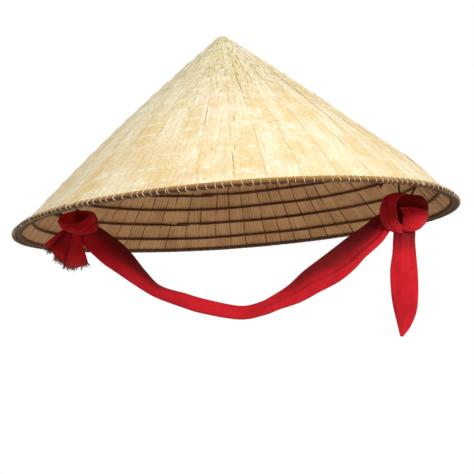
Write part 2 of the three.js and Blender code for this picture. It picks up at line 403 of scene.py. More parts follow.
def outer_leaf_material():
    """Sun-bleached palm leaf: fine veins, gold and straw patches, bleached bands, a few cracks, and painted
    shadow lines, with some dirt, along the seams and above the brim hoop.
    """
    made, tree, shader = new_material("outer_palm_leaf")
    where = attribute(tree, "place")
    solid = node(tree, "TexCoord", {}).outputs["Object"]
    across = split(tree, where)[0]
    ridge, azimuth, height = split(tree, attribute(tree, "marks"))[:3]
    veins = noise(tree, where, (2100, 16, 3.1), 3)
    streaks = noise(tree, where, (560, 24, 7.3), 3)
    patches = noise(tree, where, (30, 15, 1.7), 3)
    wear = noise(tree, solid, (75, 75, 75), 6)
    regions = noise(tree, solid, (17, 17, 17), 3)
    colour = mixed(tree, ranged(tree, patches, 0.36, 0.68), srgb(232, 221, 186), srgb(224, 199, 143))
    gold = times(tree, ranged(tree, height, 0.55, 0.05), ranged(tree, regions, 0.42, 0.62))
    colour = mixed(tree, times(tree, gold, 0.45), colour, srgb(222, 184, 112))
    colour = mixed(tree, ranged(tree, streaks, 0.5, 0.76, 0.0, 0.5), colour, srgb(206, 172, 112))
    colour = mixed(tree, ranged(tree, veins, 0.52, 0.72, 0.0, 0.5), colour, srgb(176, 142, 84))
    left = ranged(tree, maths(tree, "COSINE", maths(tree, "ADD", azimuth, 2.0)), 0.2, 1.0)
    fresh = times(tree, left, ranged(tree, height, 0.5, 0.92))
    colour = mixed(tree, times(tree, fresh, 0.45), colour, srgb(200, 200, 142))
    bleach = times(tree, ranged(tree, wear, 0.48, 0.62), ranged(tree, regions, 0.44, 0.6))
    band = times(tree, ridge, ranged(tree, wear, 0.42, 0.56))
    bleach = maths(tree, "MAXIMUM", bleach, times(tree, band, 0.8))
    bleach = times(tree, bleach, ranged(tree, streaks, 0.62, 0.36, 0.2, 0.85))
    colour = mixed(tree, bleach, colour, srgb(241, 233, 212))
    flecks = noise(tree, solid, (330, 330, 330), 3)
    pressed = times(tree, ranged(tree, ridge, 0.55, 0.95), ranged(tree, wear, 0.36, 0.52))
    colour = mixed(tree, times(tree, pressed, 0.28), colour, srgb(244, 238, 214))
    colour = mixed(tree, ranged(tree, flecks, 0.54, 0.7, 0.0, 0.4), colour, srgb(240, 234, 208))
    colour = mixed(tree, ranged(tree, flecks, 0.46, 0.3, 0.0, 0.4), colour, srgb(203, 174, 116))
    # dirt and painted shadow: a dark line along each strip's edge where it lies over the leaf before
    edge = ranged(tree, across, 0.0009, 0.0002)
    seam_dirt_and_shadow = ranged(tree, noise(tree, where, (14, 14, 5.3), 2), 0.54, 0.7, 0.0, 0.8)
    colour = mixed(tree, times(tree, edge, seam_dirt_and_shadow), colour, srgb(96, 70, 38))
    cracks = ranged(tree, noise(tree, where, (560, 42, 5.7), 2), 0.74, 0.79)
    gathers = ranged(tree, noise(tree, where, (1300, 120, 9.1), 2), 0.55, 0.66)
    gathers = times(tree, gathers, ranged(tree, height, 0.34, 0.74, 0.0, 0.6))
    cracks = maths(tree, "MAXIMUM", cracks, gathers)
    colour = mixed(tree, times(tree, cracks, 0.8), colour, srgb(98, 76, 42))
    # painted shadow: a dark line on the leaf just above the brim hoop, where leaf and hoop meet
    shadow_above_brim_hoop = hump_node(tree, split(tree, where)[1], 6.9 * MM, 1.1 * MM)
    colour = mixed(tree, times(tree, shadow_above_brim_hoop, 0.55), colour, srgb(140, 104, 56))
    relief = maths(tree, "ADD", veins, times(tree, streaks, 1.6))
    relief = maths(tree, "SUBTRACT", relief, times(tree, cracks, 3.0))
    rough = ranged(tree, streaks, 0.3, 0.7, 0.5, 0.68)
    dress(tree, shader, colour, rough, relief, 0.25 * MM, 0.8)
    return made


def inner_leaf_material():
    """Dry tan leaf, pleated finely along its length, with painted shade in the pleats' hollows, and dark
    edges where strips overlap that are partly dirt and partly painted shadow.
    """
    made, tree, shader = new_material("inner_palm_leaf")
    where = attribute(tree, "place")
    across = split(tree, where)[0]
    drift = noise(tree, where, (160, 9, 2.7), 2)
    ribs = noise(tree, where, (560, 3, 3.7), 2)
    turn = times(tree, across, 2 * math.pi / INNER_PLEAT)
    turn = maths(tree, "ADD", turn, times(tree, drift, 5.0))
    pleats = maths(tree, "SINE", turn)
    fine = noise(tree, where, (2600, 30, 1.3), 2)
    patches = noise(tree, where, (60, 28, 2.1), 3)
    colour = mixed(tree, ranged(tree, patches, 0.35, 0.68), srgb(226, 172, 114), srgb(204, 148, 92))
    # painted shade: darker in the hollows of the fine pleats
    shade = times(tree, ranged(tree, pleats, 0.1, -0.9), ranged(tree, ribs, 0.3, 0.6))
    colour = mixed(tree, times(tree, shade, 0.42), colour, srgb(132, 84, 48))
    colour = mixed(tree, ranged(tree, fine, 0.5, 0.8, 0.0, 0.4), colour, srgb(182, 132, 82))
    # dirt and painted shadow: a dark line along each strip's visible edge where strips overlap
    overlap_dirt_and_shadow = times(tree, ranged(tree, across, 0.0013, 0.0004), ranged(tree, patches, 0.36, 0.56))
    colour = mixed(tree, overlap_dirt_and_shadow, colour, srgb(62, 34, 18))
    relief = maths(tree, "ADD", fine, times(tree, pleats, 0.7))
    rough = ranged(tree, fine, 0.3, 0.7, 0.62, 0.8)
    dress(tree, shader, colour, rough, relief, 0.35 * MM, 0.8)
    return made


def bamboo_material(name, light, dark, streak_and_shade_dark, roughness):
    """Split bamboo: fibres along its length, patches, a few dark scars, and painted shade low on the brim
    hoops.
    """
    made, tree, shader = new_material(name)
    where = attribute(tree, "place")
    fibres = noise(tree, where, (2600, 18, 2.3), 3)
    patches = noise(tree, where, (180, 21, 1.9), 3)
    scars = noise(tree, where, (500, 75, 4.1), 2)
    colour = mixed(tree, ranged(tree, patches, 0.35, 0.65), light, dark)
    colour = mixed(tree, ranged(tree, fibres, 0.48, 0.74, 0.0, 0.7), colour, streak_and_shade_dark)
    colour = mixed(tree, ranged(tree, scars, 0.68, 0.76), colour, streak_and_shade_dark)
    height = split(tree, node(tree, "TexCoord", {}).outputs["Object"])[2]
    # painted shade: the brim hoops darken towards their lower side, and most of all on their underside
    shaded = ranged(tree, height, BRIM_Z + 4.4 * MM, BRIM_Z + 2.2 * MM, 0.0, 0.75)
    colour = mixed(tree, shaded, colour, streak_and_shade_dark)
    underside_shade = ranged(tree, height, BRIM_Z + 1.7 * MM, BRIM_Z + 0.7 * MM, 0.0, 0.92)
    colour = mixed(tree, underside_shade, colour, srgb(84, 40, 20))
    shader.inputs["Specular IOR Level"].default_value = 0.2
    rough = ranged(tree, fibres, 0.3, 0.7, roughness - 0.08, roughness + 0.12)
    dress(tree, shader, colour, rough, fibres, 0.2 * MM, 0.8)
    return made


def thread_material(name, light, dark, roughness, dirt_and_shade_inside=False):
    """Twisted thread: plies slanting round it, with darker grime here and there, and where asked, dirt and
    painted shade on the part inside the brim.
    """
    made, tree, shader = new_material(name)
    where = attribute(tree, "place")
    across, along = split(tree, where)[:2]
    slant = maths(tree, "ADD", times(tree, across, 2400), times(tree, along, 5200))
    plies = maths(tree, "SINE", slant)
    grime = noise(tree, where, (300, 110, 1.1), 3)
    colour = mixed(tree, ranged(tree, grime, 0.4, 0.7, 0.0, 0.65), light, dark)
    colour = mixed(tree, ranged(tree, plies, -0.2, -1.0, 0.0, 0.45), colour, dark)
    # dirt and painted shade: the thread is darker where it runs inside the leaves' face, under the brim
    if dirt_and_shade_inside:
        solid = node(tree, "TexCoord", {}).outputs["Object"]
        flat = stretched(tree, solid, (1, 1, 0))
        radius = node(tree, "VectorMath", {0: flat}, operation="LENGTH").outputs["Value"]
        rise = times(tree, split(tree, solid)[2], OUT_Z)
        outward = maths(tree, "ADD", times(tree, radius, OUT_R), rise)
        face = LEAF_RADIUS * OUT_R + BRIM_Z * OUT_Z
        inside = ranged(tree, outward, face + 1.2 * MM, face - 0.8 * MM, 0.0, 0.9)
        colour = mixed(tree, inside, colour, srgb(122, 92, 56))
    rough = ranged(tree, grime, 0.3, 0.7, roughness - 0.05, roughness + 0.1)
    dress(tree, shader, colour, rough, plies, 0.08 * MM, 0.6)
    return made


def cotton_material():
    """Red cotton in plain weave, a little faded where it bends, with a soft nap, and painted shade where
    the cloth lies in shadow.
    """
    made, tree, shader = new_material("red_cotton")
    where = attribute(tree, "place")
    across, along = split(tree, where)[:2]
    weft = maths(tree, "SINE", times(tree, along, 2 * math.pi / WEFT_STEP))
    warp = maths(tree, "SINE", times(tree, across, 2 * math.pi / WARP_STEP))
    weave = times(tree, weft, warp)
    edge, painted_shade = split(tree, attribute(tree, "marks"))[:2]
    slubs = noise(tree, where, (1400, 160, 1.3), 3)
    patches = noise(tree, where, (70, 40, 2.7), 3)
    colour = mixed(tree, ranged(tree, patches, 0.35, 0.65), srgb(210, 22, 37), srgb(190, 14, 29))
    colour = mixed(tree, ranged(tree, slubs, 0.5, 0.8, 0.0, 0.35), colour, srgb(150, 10, 22))
    colour = mixed(tree, ranged(tree, weave, 0.2, 1.0, 0.0, 0.22), colour, srgb(226, 48, 58))
    colour = mixed(tree, times(tree, edge, 0.3), colour, srgb(212, 76, 74))
    # painted shade: the second mark darkens the red where the cloth lies in the brim's shadow, inside the
    # knots and under them
    colour = mixed(tree, times(tree, painted_shade, 0.86), colour, srgb(100, 6, 14))
    shader.inputs["Sheen Weight"].default_value = 0.18
    shader.inputs["Sheen Roughness"].default_value = 0.5
    shader.inputs["Sheen Tint"].default_value = srgb(255, 150, 150)
    shader.inputs["Specular IOR Level"].default_value = 0.25
    relief = maths(tree, "ADD", weave, times(tree, slubs, 2.0))
    rough = ranged(tree, slubs, 0.3, 0.7, 0.82, 0.95)
    dress(tree, shader, colour, rough, relief, 0.1 * MM, 0.6)
    return made


def fringe_material():
    """Loose yarn ends, from dark red to the grey of the uncoloured core."""
    made, tree, shader = new_material("frayed_yarn", 0.9)
    where = attribute(tree, "place")
    along, number = split(tree, where)[1:3]
    grey = times(tree, ranged(tree, along, 0.0, 2.4 * MM), ranged(tree, number, 0.1, 0.5))
    fibres = noise(tree, where, (3000, 900, 1.0), 2)
    colour = mixed(tree, grey, srgb(140, 14, 24), srgb(158, 142, 138))
    colour = mixed(tree, ranged(tree, fibres, 0.5, 0.8, 0.0, 0.5), colour, srgb(66, 44, 44))
    rough = ranged(tree, fibres, 0.3, 0.7, 0.82, 0.96)
    dress(tree, shader, colour, rough, fibres, 0.1 * MM, 0.6)
    return made


def floor_material():
    made, tree, shader = new_material("pale_floor", 0.9)
    grain = noise(tree, node(tree, "TexCoord", {}).outputs["Object"], (2, 2, 2), 3)
    colour = mixed(tree, grain, srgb(238, 238, 236), srgb(233, 233, 231))
    tree.links.new(colour, shader.inputs["Base Color"])
    return made


# ================= Leaf strips =================
def leaf_stations(foot, top):
    """Places up the side for a leaf strip's rings, close together over each hoop."""
    offsets = np.array([-5.5, -3.2, -2.0, -1.0, 0.0, 1.0, 2.0, 3.2, 5.5]) * MM
    near_hoops = (HOOP_PLACES[:, None] + offsets).ravel()
    midway = (HOOP_PLACES[1:] + HOOP_PLACES[:-1]) / 2
    places = np.concatenate([[foot, top], near_hoops, midway])
    return np.unique(places[(places >= foot) & (places <= top)])


def top_of_side(radius):
    """How far up the side the leaves' face has this radius."""
    ups = np.linspace(0, SIDE_LENGTH, 2000)
    return float(np.interp(-radius, -side(ups, 0)[0], ups))


def strip_rings(up, start, end, depths, thickness):
    """Rings of a thin strip from azimuth start to end, depths giving its face at each point."""
    share = np.linspace(0, 1, depths.shape[1])
    azimuth = start[:, None] * (1 - share) + end[:, None] * share
    rows = np.broadcast_to(up[:, None], azimuth.shape)
    face = hat_point(rows, azimuth, depths)
    back = hat_point(rows, azimuth, depths + thickness)
    width = side(up, 0)[0][:, None] * (azimuth - azimuth[:, :1])
    return np.concatenate([face, back[:, ::-1]], axis=1), width, there_and_back(azimuth)


def outer_strip(shape, number, edges, up):
    """One leaf: its first edge lies over the leaf before, and its last under the next."""
    seed = 100 + number
    random = np.random.default_rng(seed)
    radius = side(up, 0)[0]
    overlap = np.minimum(OUTER_OVERLAP / radius, math.radians(4))
    start, end = edges[number], edges[number + 1] + overlap
    share = np.linspace(0, 1, 10)
    depths = 0.36 * MM * share[None, :] * np.ones((len(up), 1))
    depths -= HOOP_RIDGE * random.uniform(0.7, 1.2) * ridge_share(up)[:, None]
    sag = GAP_SAG * gap_share(up) * (0.6 + 0.5 * wobble(up, 60 * MM, seed + 1))
    depths += sag[:, None] * np.sin(math.pi * share)[None, :]
    right_side = hump(angle_between(start.mean(), -5), 0, 0.9)
    lift = (0.05 + 0.55 * right_side * random.uniform(0.1, 1.2) ** 2) * MM
    curl = lift * np.clip(wobble(up, 90 * MM, seed + 2), 0, 1) * smoothstep(radius, 0.02, 0.06)
    depths -= curl[:, None] * np.clip(1 - share / 0.22, 0, 1)[None, :] ** 2
    rings, width, joined = strip_rings(up, start, end, depths, OUTER_THICKNESS)
    places = per_point(rings, there_and_back(width), up[:, None], number)
    marks = per_point(rings, ridge_share(up)[:, None], joined, (up / SIDE_LENGTH)[:, None])
    shape.loft(rings, places, marks)


def outer_leaves(material):
    up = leaf_stations(LEAF_FOOT, top_of_side(8.6 * MM))
    step = 2 * math.pi / OUTER_STRIPS
    random = np.random.default_rng(7)
    shifts = random.uniform(-0.16, 0.16, OUTER_STRIPS) * step
    slants = random.uniform(-0.12, 0.12, OUTER_STRIPS) * step
    edges = []
    for number in range(OUTER_STRIPS):
        waver = 0.02 * step * wobble(up, 70 * MM, 300 + number)
        edges.append(number * step + shifts[number] + slants[number] * up / SIDE_LENGTH + waver)
    edges.append(edges[0] + 2 * math.pi)
    strips_each = OUTER_STRIPS // len(OUTER_NODES)
    for index, name in enumerate(OUTER_NODES):
        shape = Shape()
        for number in range(index * strips_each, (index + 1) * strips_each):
            outer_strip(shape, number, edges, up)
        shape.make(f"{name}_strips", material, "hat", [name])


def inner_strip(shape, number, edges, up):
    random = np.random.default_rng(700 + number)
    radius = side(up, 0)[0]
    overlap = np.minimum(INNER_OVERLAP / radius, math.radians(3))
    share = np.linspace(0, 1, 6)
    lowest = (1.42 - 0.36 * share)[None, :] * MM
    depths = lowest - 0.12 * MM * random.uniform(0, 1) * gap_share(up)[:, None]
    rings, width, joined = strip_rings(
        up, edges[number], edges[number + 1] + overlap, depths, INNER_THICKNESS
    )
    places = per_point(rings, there_and_back(width), up[:, None], number)
    marks = per_point(rings, second=joined)
    shape.loft(rings, places, marks)


def inner_leaves(material):
    up = leaf_stations(LEAF_FOOT, top_of_side(9.0 * MM))[::2]
    step = 2 * math.pi / INNER_STRIPS
    random = np.random.default_rng(11)
    shifts = random.uniform(-0.2, 0.2, INNER_STRIPS) * step
    edges = []
    for number in range(INNER_STRIPS):
        waver = 0.03 * step * wobble(up, 80 * MM, 800 + number)
        edges.append(math.radians(INNER_START_DEG) + number * step + shifts[number] + waver)
    edges.append(edges[0] + 2 * math.pi)
    strips_each = INNER_STRIPS // len(INNER_NODES)
    for index, name in enumerate(INNER_NODES):
        shape = Shape()
        for number in range(index * strips_each, (index + 1) * strips_each):
            inner_strip(shape, number, edges, up)
        shape.make(f"{name}_strips", material, "hat", [name])


# ================= Hoops =================
def bamboo_hoop(name, number, material, tie_material):
    """A splint bent round, its thinned ends lying side by side where they are tied."""
    up = hoop_place(number)
    radius = float(side(up, HOOP_DEPTH)[0])
    seed = 40 + number
    random = np.random.default_rng(seed)
    first = random.uniform(0.2, 0.8) * math.pi if number % 2 else random.uniform(1.1, 1.5) * math.pi
    splice = SPLICE_LENGTH / radius
    count = max(60, int(260 * radius / LEAF_RADIUS))
    turn = np.linspace(0, 2 * math.pi + splice, count)
    along = turn * radius
    total = along[-1]
    beside = smoothstep(along, 2.2 * SPLICE_LENGTH, SPLICE_LENGTH)
    above = smoothstep(along, total - 2.2 * SPLICE_LENGTH, total - SPLICE_LENGTH)
    thin = 1 - 0.3 * np.maximum(beside, above)
    ends = np.minimum(smoothstep(along, -1 * MM, 3 * MM), smoothstep(total - along, -1 * MM, 3 * MM))
    size = thin * (0.35 + 0.65 * ends) * (1 + 0.07 * wobble(along, 30 * MM, seed + 1))
    middle = up + 0.95 * MM * (above - beside) + 0.35 * MM * wobble(along, 150 * MM, seed + 2)
    corner = np.arange(10) * 2 * math.pi / 10
    tall = np.sign(np.cos(corner)) * np.abs(np.cos(corner)) ** 0.7 * HOOP_HALF_WIDTH
    thick = np.sign(np.sin(corner)) * np.abs(np.sin(corner)) ** 0.7 * HOOP_HALF_THICKNESS
    ups = middle[:, None] + size[:, None] * tall
    depths = HOOP_DEPTH + size[:, None] * thick
    rings = hat_point(ups, (first + turn)[:, None] + 0 * ups, depths)
    places = per_point(rings, corner * 1.2 * MM, along[:, None], number)
    shape = Shape()
    shape.loft(rings, places)
    shape.make(f"{name}_splint", material, "hat", [name])
    tie = Shape()
    for wrap in range(3):
        azimuth = first + splice * (0.25 + 0.25 * wrap)
        tie.tube(hoop_wrap(up, azimuth, 2.1 * MM, 1.15 * MM), 0.16 * MM, 5, 0.5, closed=True)
    tie.make(f"{name}_tie", tie_material, "hat")


def hoop_wrap(up, azimuth, half_width, half_thickness):
    """A closed loop of thread round a hoop."""
    turn = np.arange(12) * 2 * math.pi / 12
    ups = up + half_width * np.cos(turn)
    return hat_point(ups, azimuth + 0 * turn, HOOP_DEPTH + half_thickness * np.sin(turn))


def bamboo_hoops(material, tie_material):
    for number, name in enumerate(HOOP_NODES, start=1):
        if number > 1:
            bamboo_hoop(name, number, material, tie_material)


def stitches(thread, inner_thread):
    """The thread that sews the leaves to the hoops: a small stitch outside, an arc inside."""
    outside = Shape()
    inside = Shape()
    random = np.random.default_rng(23)
    share = np.linspace(-1, 1, 5)
    for number in range(2, len(HOOP_NODES) + 1):
        up = hoop_place(number)
        radius = float(side(up, 0)[0])
        count = int(2 * math.pi * radius / STITCH_STEP)
        for index in range(count):
            azimuth = (index + random.uniform(-0.18, 0.18)) * 2 * math.pi / count
            slant = random.uniform(-0.5, 0.5) * MM / radius
            azimuths = azimuth + slant * share
            ups = up + share * 1.5 * MM
            depths = (0.25 - 0.95 * (1 - share**4)) * MM
            outside.tube(hat_point(ups, azimuths, depths), STITCH_RADIUS, 5, random.uniform())
            ups = up + share * 1.75 * MM
            depths = (1.9 + 2.35 * (1 - share**4)) * MM
            inside.tube(hat_point(ups, azimuths, depths), STITCH_RADIUS, 5, random.uniform())
    outside.make("outer_stitches", thread, "hat")
    inside.make("inner_stitches", inner_thread, "hat")


# ================= Brim =================
def side_corner(up, depth):
    """A corner of a brim section, in millimetres up the side and in from the leaves' face."""
    radius, z = side(up * MM, depth * MM)
    return radius, z - BRIM_Z


def brim_sections():
    """The outlines of the outer and inner brim hoops, as radius and height above the brim plane."""
    foot_out = side_corner(0, -0.3)[0] + 0.25 * MM
    foot_in = side_corner(0, 2.0)[0] - 2.0 * MM
    outer = [
        (218.4 * MM, 0),
        (BRIM_RADIUS, 0.8 * MM),
        (BRIM_RADIUS, 2.4 * MM),
        side_corner(5.6, -3.1),
        side_corner(6.2, -0.3),
        (foot_out, 0),
    ]
    inner = [(foot_in, 0.2 * MM), side_corner(3.0, 2.0), side_corner(5.8, 2.0), side_corner(5.8, 3.2)]
    return rounded(outer, 0.9 * MM), rounded(inner, 0.8 * MM)


def brim_hoop(name, outline, material, seed):
    """A split bamboo hoop whose width and face vary a little, with a knuckle now and then."""
    count = 480
    turn = np.arange(count) * 2 * math.pi / count
    along = turn * BRIM_RADIUS
    middle = outline.mean(axis=0)
    circle = np.stack([np.cos(turn), np.sin(turn)], axis=1) * BRIM_RADIUS
    knuckle = sum(np.exp(-(((along - spot) / (2.2 * MM)) ** 2)) for spot in np.arange(0.09, 1.37, 0.223))
    uneven = wobble(circle[:, 0], 70 * MM, seed) * wobble(circle[:, 1], 90 * MM, seed + 1)
    size = 0.99 + 0.035 * uneven + 0.05 * knuckle
    section = middle + size[:, None, None] * (outline - middle)
    azimuths = turn[:, None] + 0 * section[..., 0]
    rings = place(section[..., 0], azimuths, BRIM_Z + section[..., 1])
    edges = np.linalg.norm(np.diff(outline, axis=0, prepend=outline[-1:]), axis=1)
    places = per_point(rings, np.cumsum(edges), along[:, None], seed)
    shape = Shape()
    shape.loft(rings, places, closed=True)
    shape.make(f"{name}_splint", material, "hat", [name])


def binding_route():
    """The way one wrap goes round both brim hoops, and how far each point is along its advance."""
    clear = 0.8 * BINDING_RADIUS / MM
    corners = [
        (*side_corner(6.9, -0.1), 0.0, 0.0),
        (*side_corner(6.5 + 0.5 * clear, -1.2), 0.0, 0.0),
        (*side_corner(5.9 + 0.5 * clear, -2.7 - 0.5 * clear), 0.0, 0.0),
        (*side_corner(4.8, -3.1 - clear), 0.0, 0.0),
        (BRIM_RADIUS + clear * MM, 2.2 * MM, 0.0, 0.02),
        (BRIM_RADIUS + clear * MM, 1.1 * MM, 0.0, 0.05),
        (218.4 * MM + 0.5 * clear * MM, 0.15 * MM, 0.0, 0.12),
        (217.0 * MM, 0.1 * MM, 0.0, 0.2),
        (213.8 * MM, 0.12 * MM, 0.0, 0.45),
        (211.0 * MM, 0.1 * MM, 0.0, 0.7),
        (*side_corner(4.8, 3.3 + 0.4 * clear), 0.0, 0.9),
        (*side_corner(5.7 + 0.4 * clear, 3.1 + 0.3 * clear), 0.0, 0.97),
        (*side_corner(6.4, 1.9), 0.0, 1.0),
    ]
    rows = smooth_rows(corners, 22)
    return rows[:, :2], rows[:, 3]


def rim_binding(material):
    """One long thread whipped round both hoops: down the face and slanting back underneath."""
    section, advance = binding_route()
    random = np.random.default_rng(31)
    turns = []
    azimuth = 0.0
    while azimuth < 2 * math.pi - 0.6 * BINDING_STEP / BRIM_RADIUS:
        step = BINDING_STEP / BRIM_RADIUS * random.uniform(0.7, 1.35)
        if random.uniform() < 0.06:
            step *= 0.28
        turns.append((azimuth, step, random.uniform(-0.04, 0.16)))
        azimuth += step
    path = []
    for start, step, slant in turns:
        tilt = slant * step * np.clip(section[:, 1] / (6 * MM), 0, 1)
        azimuths = start + step * advance + tilt
        path.append(place(section[:, 0], azimuths, BRIM_Z + section[:, 1]))
    path = np.vstack(path)
    radius = BINDING_RADIUS * (1 + 0.12 * wobble(distances(path), 90 * MM, 37))
    shape = Shape()
    shape.tube(path, radius, 7, 0.3)
    knot_azimuth = math.radians(-40)
    for turn in np.linspace(0, 2 * math.pi, 4, endpoint=False):
        loops = np.linspace(0, 2 * math.pi, 14, endpoint=False)
        centre = place(BRIM_RADIUS + 1.0 * MM, np.array(knot_azimuth), BRIM_Z + 1.6 * MM)
        ring = np.stack([np.cos(loops) * np.cos(turn), np.cos(loops) * np.sin(turn), np.sin(loops)], axis=1)
        shape.tube(centre + ring * 1.1 * MM, 0.4 * MM, 6, 0.6, closed=True)
    shape.make("rim_whipping", material, "hat", ["rim_binding"])


def rim_scrap(material):
    """A loose dark leaf end that hangs inside the front of the brim."""
    azimuth = math.radians(-51.8)
    rows = []
    for drop, half in ((-2.0, 3.2), (-0.5, 3.0), (1.5, 1.9), (3.6, 0.5)):
        turn = azimuth + np.array([-1, 1, 1, -1]) * half * MM / (208 * MM)
        radius = (208.4 + np.array([0, 0, 0.4, 0.4]) - 0.25 * drop) * MM
        rows.append(place(radius, turn, BRIM_Z - drop * MM + 0 * turn))
    rings = np.array(rows)
    places = rings * 1.0
    shape = Shape()
    shape.loft(rings, places)
    shape.make("rim_leaf_end", material, "hat")


# ================= Apex =================
def apex_cap(leaf_material, dark_thread):
    """The gathered tips of the leaves: a small pleated dome, sewn down."""
    count = 168
    turn = np.arange(count) * 2 * math.pi / count
    share = np.linspace(0.02, 1, 18)
    edge = 9.6 * MM
    radius = edge * share
    base = float(side(top_of_side(edge), 0)[1]) - 0.1 * MM
    rise = (TOP_Z + APEX_RISE - base) * (1 - share**1.9)
    pleat = np.abs(np.sin(turn * 11 + 0.8 * np.sin(3 * turn))) ** 0.7
    uneven = 1 + 0.05 * np.sin(2 * turn + 1) + 0.03 * np.sin(5 * turn)
    lift = 0.6 * MM * pleat[None, :] * (smoothstep(share, 0.08, 0.5) * (1.1 - 0.9 * share))[:, None]
    face = place(
        (radius[:, None] * uneven) + 0.5 * lift, turn[None, :] + 0 * lift, base + rise[:, None] + lift
    )
    back = place(
        np.maximum(radius[:, None] * uneven - 0.4 * MM, 0.05 * MM),
        turn[None, :] + 0 * lift,
        base + rise[:, None] + lift - 0.9 * MM,
    )
    rings = np.concatenate([face, back[::-1]], axis=0)
    places = per_point(rings, turn * 9 * MM, there_and_back(radius)[:, None], 41)
    marks = per_point(rings, second=turn, third=0.97)
    shape = Shape()
    shape.loft(rings, places, marks)
    shape.make("apex_pleats", leaf_material, "hat", ["apex_cap"])
    sewing = Shape()
    random = np.random.default_rng(53)
    for ring_share, stitches_round in ((0.42, 9), (0.72, 14)):
        height = base + (TOP_Z + APEX_RISE - base) * (1 - ring_share**1.9) + 0.4 * MM
        for index in range(stitches_round):
            middle = (index + random.uniform(-0.25, 0.25)) * 2 * math.pi / stitches_round
            reach = np.linspace(-1, 1, 6)
            azimuths = middle + reach * 0.9 * MM / (edge * ring_share)
            radii = edge * ring_share + reach * random.uniform(-1.2, 1.2) * MM
            heights = height - 0.9 * MM * reach**2 - (radii - edge * ring_share) * 0.75
            sewing.tube(place(radii, azimuths, heights), 0.26 * MM, 6, random.uniform())
    sewing.make("apex_sewing", dark_thread, "hat")


# ================= Thread loops =================
def strap_points(rows):
    """Rows of x, y, z in millimetres from the brim plane, as points of the frame."""
    points = np.array(rows, float)
    points[:, :3] *= MM
    points[:, 2] += BRIM_Z
    return points


def thread_loop(name, rows, material):
    """Two strands of black thread twisted together, hung over two hoops and caught in a knot."""
    path = smooth_rows(strap_points(rows), 90)
    tangents = unit(np.gradient(path, axis=0))
    across = np.broadcast_to([0.0, 1.0, 0.0], path.shape)
    other = np.cross(tangents, across)
    turn = 2 * math.pi * distances(path) / LOOP_TWIST
    shape = Shape()
    for phase in (0, math.pi):
        swing = np.cos(turn + phase)[:, None] * across + np.sin(turn + phase)[:, None] * other
        shape.tube(path + swing * 0.85 * LOOP_STRAND_RADIUS, LOOP_STRAND_RADIUS, 7, 0.2 + phase)
    for number in (3, 4):
        azimuth = 0.0 if rows[0][0] > 0 else math.pi
        for offset in (-0.55, 0.55):
            wrap = hoop_wrap(hoop_place(number), azimuth, 2.0 * MM, 1.7 * MM)
            wrap[:, 1] += offset * MM
            shape.tube(wrap, 0.45 * MM, 6, 0.4, closed=True)
    shape.make(f"{name}_thread", material, "hat", [name])


# ================= Cloth =================
def folded_rings(path, half_width, half_depth, lean, hinge, creases, seed):
    """Rings of a cotton strip folded lengthwise, hanging in the plane that faces the camera.

    path runs along the strip's middle. The front layer goes from the upper edge down to the fold at
    the lower edge, and the back layer comes up again and tucks in behind the upper edge. Above its
    hinge, a place across from -1 to 1, the strip leans back by lean. creases is a list of (place
    across, height, width). Each is one number for every ring, apart from a crease's width.
    """
    tangents = unit(np.gradient(path, axis=0))
    upward = np.stack([-tangents[:, 2], 0 * tangents[:, 0], tangents[:, 0]], axis=1)
    toward = np.array([0.0, -1.0, 0.0])
    turn = np.linspace(0.06 * math.pi, 1.93 * math.pi, 104)
    cosine, sine = np.cos(turn), np.sin(turn)
    across = np.sign(cosine) * np.abs(cosine) ** 0.85
    bulge = np.sign(sine) * np.abs(sine) ** 0.6
    along = distances(path)
    height = half_width[:, None] * across
    front = np.clip(bulge, 0, 1) ** 0.5
    leaning = 0.1 * np.log1p(np.exp((across - hinge[:, None]) / 0.1))
    depth = half_depth[:, None] * bulge + lean[:, None] * leaning
    for middle, amount, width in creases:
        depth += amount[:, None] * front * np.tanh((middle[:, None] - across) / width)
    for wave in range(3):
        phase = 2.2 * wobble(along, 110 * MM, seed + wave)
        ripple = np.cos((3 + 2 * wave) * across[None, :] + phase[:, None] + wave)
        depth += 0.32 * MM / (1 + wave) * ripple * np.abs(bulge)
    tuck = smoothstep(turn, 1.75 * math.pi, 1.93 * math.pi)
    height -= half_width[:, None] * 0.12 * tuck
    depth += half_depth[:, None] * 0.35 * tuck
    centre = path[:, None]
    outer = centre + height[..., None] * upward[:, None] + depth[..., None] * toward
    slope_up = np.gradient(height, axis=1)
    slope_out = np.gradient(depth, axis=1)
    length = np.maximum(np.hypot(slope_up, slope_out), 1e-9)
    inward_up = -slope_out / length
    inward_out = slope_up / length
    inner = outer + CLOTH_THICKNESS * (
        inward_up[..., None] * upward[:, None] + inward_out[..., None] * toward
    )
    rings = np.concatenate([outer, inner[:, ::-1]], axis=1)
    spread = np.cumsum(length, axis=1)
    places = per_point(rings, there_and_back(spread), along[:, None], seed)
    # painted shade: the part of the strip that leans back above its hinge is darkened, where the brim's
    # shadow falls
    shaded = smoothstep(leaning, 0.0, 0.9) * smoothstep(-lean, 0.6 * MM, 5 * MM)[:, None]
    marks = per_point(rings, second=there_and_back(shaded))
    return rings, places, marks


